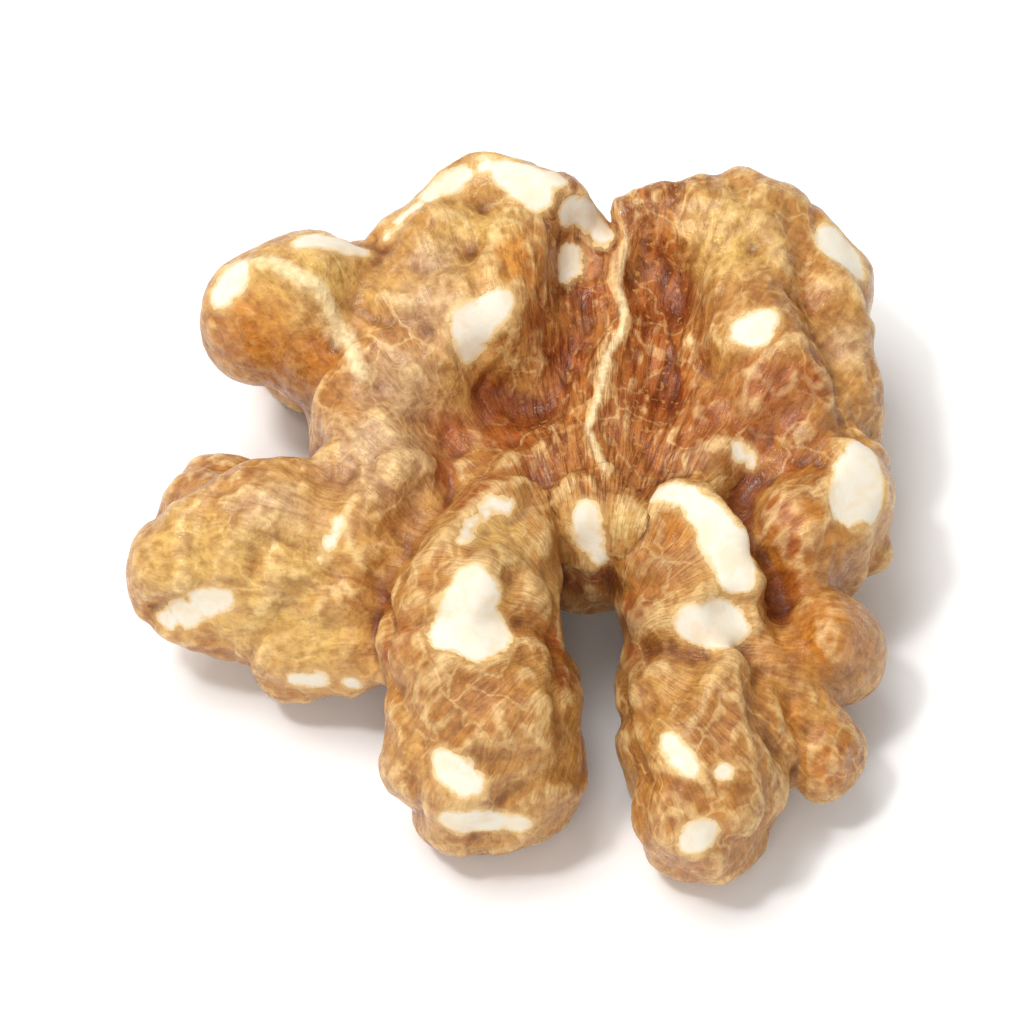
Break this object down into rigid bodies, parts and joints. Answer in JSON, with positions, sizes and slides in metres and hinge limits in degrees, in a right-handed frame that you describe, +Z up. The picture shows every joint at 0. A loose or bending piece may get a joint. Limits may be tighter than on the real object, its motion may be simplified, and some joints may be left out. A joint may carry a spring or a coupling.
{
  "type": "walnut kernel half",
  "caption": "Shelled walnut kernel half with deeply folded lobes, a cleft at the front and a ridge along its middle, lying with its domed face up.",
  "frame": {"origin": "centre of the box around the kernel, on the floor it lies on", "axes": "+Z up, out of the domed face; +Y towards the pointed end, away from the cleft between the two legs; +X across the wings"},
  "size_m": [0.032, 0.0316, 0.0132],
  "materials": {
    "kernel": "satin, thin papery skin"
  },
  "bodies": {
    "root": {"kernel": "kernel"}
  },
  "joints": []
}
